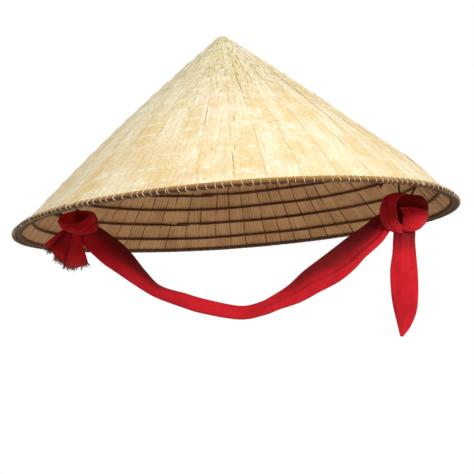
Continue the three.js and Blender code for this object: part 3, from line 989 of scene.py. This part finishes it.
# The swag between the knots: x, y, z of its middle, half its width, half its depth, how far its
# upper edge leans back, which also sets its painted shade, how strong its lengthwise crease is and where
# that lies.
SWAG = [
    (-152, 1, 3, 10.5, 3.6, -2, 0.0, -0.3),
    (-143, 0, -5, 12.8, 3.2, -6, 0.2, -0.3),
    (-134, -1, -13.5, 13.6, 3.0, -8, 0.3, -0.3),
    (-124.5, -2, -22.6, 14.0, 3.0, -8.5, 0.3, -0.35),
    (-115, -2, -32, 12.6, 3.0, -8, 0.3, -0.4),
    (-100, -2, -48.2, 9.2, 3.2, -6, 0.2, -0.3),
    (-83.4, -1, -63, 6.6, 3.6, -3.0, 0.3, -0.2),
    (-58, 0, -74, 7.3, 3.4, -1.5, 0.5, 0.1),
    (-38, 0, -81.6, 7.4, 3.2, -1.0, 0.4, 0.2),
    (-4, 0, -90.3, 6.9, 3.4, -0.5, 0.5, 0.2),
    (18, 0, -88.0, 7.0, 3.4, -0.5, 0.6, 0.0),
    (33.6, 0, -82.4, 8, 3.2, -1.0, 1.2, 0.0),
    (52, -1, -75, 10.8, 2.8, -3.0, 1.8, -0.05),
    (70, -1, -64, 13.6, 2.6, -5.0, 2.4, -0.15),
    (88.6, -2, -53.9, 15.4, 2.5, -7.0, 2.8, -0.33),
    (103, -2, -44, 15.2, 2.5, -8.5, 3.2, -0.45),
    (114.5, -2, -34.8, 14, 2.6, -9.0, 3.4, -0.5),
    (132, -2, -22.8, 12.8, 2.8, -8.5, 3.4, -0.5),
    (143, 0, -13, 11, 3.2, -6.0, 2.8, -0.48),
    (152, 2, -8, 9, 3.6, -2, 1.0, -0.45),
]


def swag(material):
    rows = smooth_rows(strap_points(SWAG), 200)
    crease = rows[:, 6] * MM
    creases = [
        (rows[:, 7], 0.7 * crease, 0.06),
        (rows[:, 7] + 0.5, 0.2 * crease, 0.12),
    ]
    sizes = rows[:, 3:6].T * MM
    rings, places, marks = folded_rings(rows[:, :3], *sizes, rows[:, 7], creases, 61)
    shape = Shape()
    shape.loft(rings, places, marks)
    piece = shape.make("chin_strap_cloth", material, "strap", ["chin_strap"])


# A knot's folds. Each has rows of x, y, z of one edge, then x, y, z of the other, in millimetres,
# and how far the cloth between them swells out.
RIGHT_KNOT_CENTRE = (166, 3, -5)
RIGHT_KNOT = [
    # the fold that comes over the top and down the left side
    [
        (167, -3, 14, 154, 5, 16, 2.0),
        (160, -8, 9, 146, -1, 11, 3.8),
        (157.5, -10.5, 2, 141.8, -2, 1, 4.6),
        (157.5, -11.5, -6, 141.3, -3, -9, 4.6),
        (158, -11, -13, 145, -5, -18, 4.0),
        (163, -8, -19, 153, -4, -23, 2.6),
        (171, -2, -22, 164, -1, -25, 1.5),
    ],
    # the broad bright fold that leaves the hollow and turns round the right side
    [
        (159.5, -8, 0.5, 164.5, -6, -5, 0.2),
        (164, -12, 0.2, 164, -7, -12, 0.9),
        (169, -14.5, -0.4, 161, -8, -20, 1.8),
        (175, -15.5, -1.4, 168, -9.5, -24, 2.6),
        (182, -13, -3, 177, -8, -23, 2.8),
        (187.5, -5, -4, 184.5, -1, -16, 2.4),
        (188, 5, 0, 187, 7, -8, 2.0),
    ],
    # the fold across the top, in the brim's shade
    [
        (150, 4, 13.5, 152, -1, 6, 1.0),
        (157, 0, 16.5, 159, -2, 5, 2.2),
        (165, -1, 15.5, 166, -3, 2, 2.4),
        (175, -1.5, 13.5, 176, -4, -1, 2.6),
        (184.5, 0, 11.5, 186, -2, -3.5, 2.6),
        (188, 6, 5, 188.5, 4, -4, 2.0),
        (182, 11, 5, 184, 11, -4, 1.4),
    ],
    # the fold behind, which closes the knot
    [
        (182, 8, 8, 186, 7, -10, 1.5),
        (174, 12, 12, 178, 12, -17, 3.0),
        (163, 13, 13, 164, 13, -20, 3.6),
        (152, 11, 11, 150, 11, -19, 3.2),
        (145, 5, 6, 144, 5, -14, 2.0),
    ],
]
# How much painted shade darkens each fold, where it lies in the brim's shadow or inside the knot, and half
# the size of the cloth inside each knot.
RIGHT_PAINTED_SHADE = (0.15, 0.0, 0.8, 0.6)
RIGHT_CORE = (18, 6, 14)
LEFT_PAINTED_SHADE = (0.1, 0.0, 0.6, 0.5)
LEFT_CORE = (14, 6.5, 6)
LEFT_KNOT_CENTRE = (-158, 3, 8)
LEFT_KNOT = [
    # the broad fold across the front, whose upper edge is the mouth of the loop
    [
        (-172, 5, 17, -168, 5, 7, 0.8),
        (-176.5, -2, 15, -172, -2, 6, 1.6),
        (-172, -9, 11.5, -167, -8, 2, 3.0),
        (-164, -12.5, 9, -160, -10.5, -1.5, 3.6),
        (-155, -13, 9, -153.5, -10.5, -3, 3.6),
        (-148.5, -11, 13, -146, -9.5, -2.5, 3.0),
        (-143, -7, 17.5, -139.5, -5, 0, 2.2),
        (-142, 3, 19, -138, 4, 4, 1.4),
    ],
    # the inside of the loop, seen over the front fold
    [
        (-176, 0, 17.5, -172, -5, 8, 0.6),
        (-170, -2, 20.5, -167, -8, 8, 0.8),
        (-163, -1, 22, -161, -7, 8, 0.6),
        (-156.5, 4, 22, -156, 0, 6, -1.0),
        (-149, 5, 21.5, -149, 2, 6, -1.6),
        (-143, 4, 19, -143, 1, 8, -0.8),
    ],
    # the fold over the top, in the brim's shade
    [
        (-171, 7, 19, -167, 3, 19, 0.6),
        (-162, 6, 22.5, -160, 1, 20.5, 1.2),
        (-152, 5, 22.5, -152, -3, 19, 1.6),
        (-142.5, 3, 20.5, -144.5, -7, 14.5, 2.0),
        (-138.5, 3, 13.5, -142.5, -8, 7, 2.0),
        (-138.3, 4, 5, -142.5, -6, -1, 1.4),
    ],
    # the fold behind, which closes the knot
    [
        (-141, 6, 18, -140, 6, 2, 1.0),
        (-149, 11, 20, -149, 11, -3, 2.4),
        (-159, 12.5, 20.5, -159, 12, -4, 2.8),
        (-169, 10, 18, -168, 9, 0, 2.2),
        (-175, 5, 15, -172, 5, 6, 1.0),
    ],
]


def knot_core(shape, centre, half_sizes, seed):
    """The cloth squeezed together inside a knot."""
    tilt = np.linspace(0.04 * math.pi, 0.96 * math.pi, 22)
    turn = np.arange(36) * 2 * math.pi / 36
    spoke = np.sin(tilt)[:, None]
    uneven = 1 + 0.05 * np.sin(5 * turn + 2 * np.cos(tilt)[:, None]) + 0.03 * np.sin(9 * turn)
    x = half_sizes[0] * spoke * np.cos(turn) * uneven
    y = half_sizes[1] * spoke * np.sin(turn) * uneven
    z = half_sizes[2] * np.cos(tilt)[:, None] * np.ones(len(turn))
    rows = np.stack([x + centre[0], y + centre[1], z + centre[2]], axis=-1)
    rings = strap_points(rows.reshape(-1, 3)).reshape(rows.shape)
    places = per_point(rings, turn * half_sizes[0] * MM, tilt[:, None] * half_sizes[2] * MM, seed)
    # painted shade: the cloth inside the knot is darkened in full
    shape.loft(rings, places, np.array([0.0, 1.0, 0.0]))


def knot_fold(shape, rows, centre, seed, painted_shade):
    """One turn of the folded strip round a knot: a lens of cloth between two edges, pleated."""
    rows = np.array(rows, float)
    edges = [strap_points(rows[:, :3]), strap_points(rows[:, 3:6])]
    table = np.hstack([(edges[0] + edges[1]) / 2, edges[0], edges[1], rows[:, 6:7]])
    table = smooth_rows(table, 64)
    first, second, swelling = table[:, 3:6], table[:, 6:9], table[:, 9] * MM
    tangents = unit(np.gradient(table[:, :3], axis=0))
    normal = unit(np.cross(tangents, second - first))
    middle = strap_points([centre])[0]
    outward = np.sum(normal * (table[:, :3] - middle), axis=1, keepdims=True)
    normal = normal * np.sign(outward.mean())
    share = np.linspace(0, 1, 34)
    arch = np.sqrt(np.clip(1 - (2 * share - 1) ** 2, 0, 1))
    along = distances(table[:, :3])
    width = np.linalg.norm(second - first, axis=1)
    phase = 1.5 * wobble(along, 40 * MM, seed)[:, None]
    turns = 2 * math.pi * share * width[:, None] / (6.5 * MM)
    pleats = 0.42 * MM * np.cos(turns + phase) + 0.22 * MM * np.cos(1.9 * turns - 2 * phase)
    height = swelling[:, None] * arch + pleats * arch
    flat = first[:, None] * (1 - share[:, None]) + second[:, None] * share[:, None]
    face = flat + height[..., None] * normal[:, None]
    back = flat + (0.55 * height - (0.5 + 0.9 * arch) * MM)[..., None] * normal[:, None]
    rings = np.concatenate([face, back[:, ::-1]], axis=1)
    spread = width[:, None] * share
    places = per_point(rings, there_and_back(spread), along[:, None], seed)
    selvage = 1 - smoothstep(np.minimum(spread, width[:, None] - spread), 0.3 * MM, 0.9 * MM)
    # each fold's painted shade goes into the second mark
    marks = per_point(rings, np.concatenate([0.5 * selvage, 0 * selvage], axis=1), painted_shade)
    shape.loft(rings, places, marks)


def knot(side_name, bands, painted_shade, centre, core, material, seed):
    name = f"{side_name}_knot"
    shape = Shape()
    knot_core(shape, centre, core, seed)
    for number, rows in enumerate(bands):
        knot_fold(shape, rows, centre, seed + 3 * number, painted_shade[number])
    piece = shape.make(f"{name}_cloth", material, "strap", [name])


# The long tail: x, y, z of its middle, half its width and half its depth.
RIGHT_TAIL = [
    (165, 0, -14, 8, 2.6),
    (164.5, -1, -21, 10.8, 2.8),
    (163, -2, -32, 11.2, 2.6),
    (162, -2, -46, 12.2, 2.2),
    (160.2, -2, -62, 13.8, 2.0),
    (159, -1, -84, 13.4, 1.9),
    (158.2, 0, -100, 11.4, 1.8),
    (156, 0, -113, 7.4, 1.6),
    (153.6, 0, -121, 3.8, 1.4),
    (152.2, 0, -125.6, 1.4, 0.9),
]

# Where each tail would start to bend out of its knot, and where it would have bent all the way; the tails
# are not bent here.
RIGHT_TAIL_BEND = [(164, 0, -14), (163, 0, -36)]
LEFT_TAIL_BEND = [(-158, 0, 4), (-164, 0, -12)]


def right_tail(material):
    rows = smooth_rows(strap_points(RIGHT_TAIL), 130)
    along = distances(rows[:, :3])
    fade = smoothstep(along, 60 * MM, 5 * MM)
    creases = [
        (0.35 + 0 * along, 1.1 * MM * fade, 0.12),
        (-0.35 + 0 * along, -1.0 * MM * fade, 0.12),
        (0.05 + 0.2 * along / along[-1], 0.35 * MM + 0 * along, 0.3),
    ]
    lean = (1.2 * wobble(along, 120 * MM, 77) - 0.6) * MM
    hinge = -1 + 0 * along
    rings, places, marks = folded_rings(
        rows[:, :3], rows[:, 3] * MM, rows[:, 4] * MM, lean, hinge, creases, 81
    )
    # painted shade: the tail darkens towards the knot, in the shadow under it
    marks[..., 1] = smoothstep(along, 34 * MM, 10 * MM)[:, None]
    shape = Shape()
    shape.loft(rings, places, marks)
    piece = shape.make("right_tail_cloth", material, None, ["right_tail"])
    bend = strap_points(RIGHT_TAIL_BEND)
    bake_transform(piece)


# The frayed tail fans out below its knot, from a root and between two edge directions, in
# millimetres from the brim plane and degrees.
FAN_ROOT = (-158, -2, 15)
FAN_FIRST_DEG = 216
FAN_LAST_DEG = 282
FAN_REACH = 50
FAN_START = 0.28  # where the fan leaves the knot, as a share of its reach
FAN_PLEATS = 2.7
FAN_CLEARANCE = 3.4  # how far its right side stands in front of the chin strap


def fan_point(share, reach, layer):
    """A point of the fan: share of the way across, reach from the root, layer from -1 to 1."""
    pleat = 2 * math.pi * FAN_PLEATS * share + 0.8 * np.sin(5 * share)
    loose = reach / FAN_REACH
    fold = (4.6 - 2.4 * loose) * np.sin(pleat)
    angle = np.radians(FAN_FIRST_DEG + (FAN_LAST_DEG - FAN_FIRST_DEG) * share + fold)
    gathers = 0.5 * (1.15 - loose) * np.cos(9.5 * 2 * math.pi * share + 2 * loose)
    ripple = 0.35 * np.cos(2.3 * pleat + 3 * loose) + gathers
    depth = -(1.0 + 2.1 * loose) * np.cos(pleat) - 1.5 * np.sin(math.pi * share) - 1.0 + ripple
    depth = depth + 1.2 * hump(loose, 0.84, 0.09) * (0.4 + share)
    depth = depth - FAN_CLEARANCE * smoothstep(share, 0.5, 0.78)
    x = FAN_ROOT[0] + reach * np.cos(angle)
    y = FAN_ROOT[1] + depth + layer * 0.5 * CLOTH_THICKNESS / MM
    z = FAN_ROOT[2] + reach * np.sin(angle)
    return np.stack([x, y, z], axis=-1)


def fan_edge(share):
    """How far the frayed edge is from the root."""
    short = 9.0 * hump(share, 0.05, 0.7) + 3.0 * hump(share, 1.0, 0.2)
    return FAN_REACH - short + 0.9 * wobble(share, 0.3, 91)


def left_tail(material, yarn):
    share = np.linspace(0, 1, 120)
    edge = fan_edge(share)
    shape = Shape()
    rings = []
    reaches = np.linspace(FAN_START, 1, 34)
    for along in reaches:
        front = fan_point(share, edge * along, -1)
        back = fan_point(share, edge * along, 1)
        rings.append(np.concatenate([front, back[::-1]]))
    rings = np.array(rings)
    points = strap_points(rings.reshape(-1, 3)).reshape(rings.shape)
    across = share * STRIP_WIDTH
    places = per_point(points, there_and_back(across), reaches[:, None] * FAN_REACH * MM, 95)
    # painted shade: the fan's left panel is darkened away from its frayed edge
    panel_shade = 0.9 * hump(share, 0.22, 0.24) * smoothstep(reaches, 0.9, 0.7)[:, None]
    marks = per_point(points, 0.6 * smoothstep(reaches, 0.8, 0.92)[:, None], there_and_back(panel_shade))
    shape.loft(points, places, marks)
    piece = shape.make("left_tail_cloth", material, None, ["left_tail"])
    bend = strap_points(LEFT_TAIL_BEND)
    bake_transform(piece)
    fringe = left_fringe(yarn)


def left_fringe(yarn):
    """Loose yarns along the torn edge, some straight, some curled back on themselves."""
    shape = Shape()
    random = np.random.default_rng(97)
    clumps = np.sort(random.uniform(0.0, 1.0, 46))
    for clump in clumps:
        lean = random.uniform(-1, 1, 3) * (1.6, 1.0, 1.3)
        for _ in range(random.integers(5, 11)):
            share = np.clip(clump + random.uniform(-0.012, 0.012), 0, 1)
            length = random.uniform(1.4, 3.6) if random.uniform() < 0.92 else random.uniform(4, 5.5)
            reaches = fan_edge(share) - 1.0 + np.linspace(0, length, 7)
            shares = share + 0.02 * random.uniform(-1, 1) * np.linspace(0, 1, 7) ** 2
            points = fan_point(shares, reaches, 0.0)
            curl = lean + random.uniform(-1, 1, 3) * 0.9
            points = points + curl * (np.linspace(0, 1, 7)[:, None] ** 2)
            radius = np.linspace(0.36, 0.2, 7) * MM * random.uniform(0.75, 1.3)
            shape.tube(strap_points(points), radius, 5, random.uniform())
    return shape.make("left_tail_fringe", yarn, "left_tail")


# ================= Stage =================
def camera():
    data = bpy.data.cameras.new("camera")
    data.lens = VIEW_LENS
    data.sensor_width = 36
    made = bpy.data.objects.new("camera", data)
    bpy.context.scene.collection.objects.link(made)
    rise = math.radians(VIEW_UP_DEG)
    roll = math.radians(VIEW_ROLL_DEG)
    drop = math.radians(VIEW_AIM_DROP_DEG)
    right = Vector((1, 0, 0))
    forward = Vector((0, math.cos(rise), math.sin(rise)))
    upward = right.cross(forward)
    camera_right = math.cos(roll) * right - math.sin(roll) * upward
    camera_up = math.sin(roll) * right + math.cos(roll) * upward
    aimed = math.cos(drop) * forward - math.sin(drop) * camera_up
    aimed_up = math.sin(drop) * forward + math.cos(drop) * camera_up
    turn = Matrix((camera_right, aimed_up, -aimed)).transposed()
    made.matrix_world = turn.to_4x4()
    made.location = Vector((0, 0, BRIM_Z)) - forward * VIEW_DISTANCE
    bpy.context.scene.camera = made


def area_light(name, location, target, size, power, colour=(1, 1, 1)):
    data = bpy.data.lights.new(name, "AREA")
    data.shape = "DISK"
    data.size = size
    data.energy = power
    data.color = colour
    made = bpy.data.objects.new(name, data)
    bpy.context.scene.collection.objects.link(made)
    made.location = location
    aim = Vector(target) - Vector(location)
    made.rotation_mode = "QUATERNION"
    made.rotation_quaternion = aim.to_track_quat("-Z", "Y")


def studio():
    """Soft white light from overhead, a few large lamps, and a pale floor far enough below."""
    scene = bpy.context.scene
    scene.view_settings.view_transform = "Standard"
    world = bpy.data.worlds.new("studio")
    world.use_nodes = True
    tree = world.node_tree
    direction = node(tree, "TexCoord", {}).outputs["Generated"]
    overhead = ranged(tree, split(tree, direction)[2], 0.0, 0.9, HORIZON_GLOW, OVERHEAD_GLOW)
    seen = node(tree, "Background", {"Color": (1, 1, 1, 1), "Strength": 1.0})
    light = tree.nodes["Background"]
    light.inputs["Color"].default_value = (1, 1, 1, 1)
    tree.links.new(overhead, light.inputs["Strength"])
    path = node(tree, "LightPath", {}).outputs["Is Camera Ray"]
    both = node(tree, "MixShader", {0: path, 1: light.outputs[0], 2: seen.outputs[0]})
    tree.links.new(both.outputs[0], tree.nodes["World Output"].inputs["Surface"])
    scene.world = world
    area_light("key", (-1.6, -1.3, 1.8), (0, 0, -0.05), 1.2, 16.5)
    area_light("front", (1.5, -2.0, 0.24), (0, 0, -0.2), 0.5, 57)
    area_light("left", (-2.2, -1.4, 0.9), (0, 0, -0.05), 1.2, 15)
    area_light("back", (0, 2.1, 1.4), (0, 0, -0.05), 1.4, 18)
    bpy.ops.mesh.primitive_circle_add(
        vertices=96, radius=FLOOR_RADIUS, fill_type="NGON", location=(0, 0, FLOOR_Z)
    )
    floor = bpy.context.active_object
    floor.name = "floor"
    floor.data.materials.append(floor_material())


# ================= The hat =================
RIGHT_LOOP = [
    (166.4, 0, 35.5),
    (163.2, -1, 27),
    (162.4, -1.5, 18),
    (164.5, -1, 11),
    (168.5, 0, 9),
    (172.5, 0, 11.5),
    (176.5, 0, 17),
    (180.6, 0, 23.6),
]
LEFT_LOOP = [
    (-166, 0, 35.6),
    (-161, 1, 29.5),
    (-157, 2.5, 22.5),
    (-158.5, 3, 17.5),
    (-163, 3, 16),
    (-168, 2.8, 18),
    (-175, 2, 21.5),
    (-180.8, 0, 24),
]


def hat():
    outer = outer_leaf_material()
    inner = inner_leaf_material()
    hoop_brown = bamboo_material(
        "hoop_bamboo", srgb(120, 70, 42), srgb(88, 48, 28), srgb(48, 26, 16), 0.55
    )
    brim_gold = bamboo_material(
        "brim_bamboo", srgb(180, 136, 60), srgb(148, 108, 44), srgb(104, 64, 26), 0.5
    )
    white_thread = thread_material(
        "binding_thread", srgb(228, 214, 180), srgb(160, 136, 100), 0.6, dirt_and_shade_inside=True
    )
    sewing_thread = thread_material("sewing_thread", srgb(220, 204, 168), srgb(180, 150, 104), 0.5)
    brown_thread = thread_material("inner_sewing_thread", srgb(96, 66, 44), srgb(60, 38, 24), 0.6)
    black_thread = thread_material("loop_thread", srgb(30, 25, 24), srgb(14, 11, 11), 0.7)
    outer_leaves(outer)
    inner_leaves(inner)
    bamboo_hoops(hoop_brown, brown_thread)
    outer_outline, inner_outline = brim_sections()
    brim_hoop("rim_outer_hoop", outer_outline, brim_gold, 71)
    brim_hoop(HOOP_NODES[0], inner_outline, hoop_brown, 74)
    rim_binding(white_thread)
    rim_scrap(hoop_brown)
    stitches(sewing_thread, brown_thread)
    apex_cap(outer, sewing_thread)
    thread_loop("right_strap_loop", RIGHT_LOOP, black_thread)
    thread_loop("left_strap_loop", LEFT_LOOP, black_thread)


def strap():
    cotton = cotton_material()
    knot(
        "right", RIGHT_KNOT, RIGHT_PAINTED_SHADE, RIGHT_KNOT_CENTRE, RIGHT_CORE, cotton, 110
    )
    knot("left", LEFT_KNOT, LEFT_PAINTED_SHADE, LEFT_KNOT_CENTRE, LEFT_CORE, cotton, 140)
    swag(cotton)
    right_tail(cotton)
    left_tail(cotton, fringe_material())


camera()
hat()
strap()
studio()
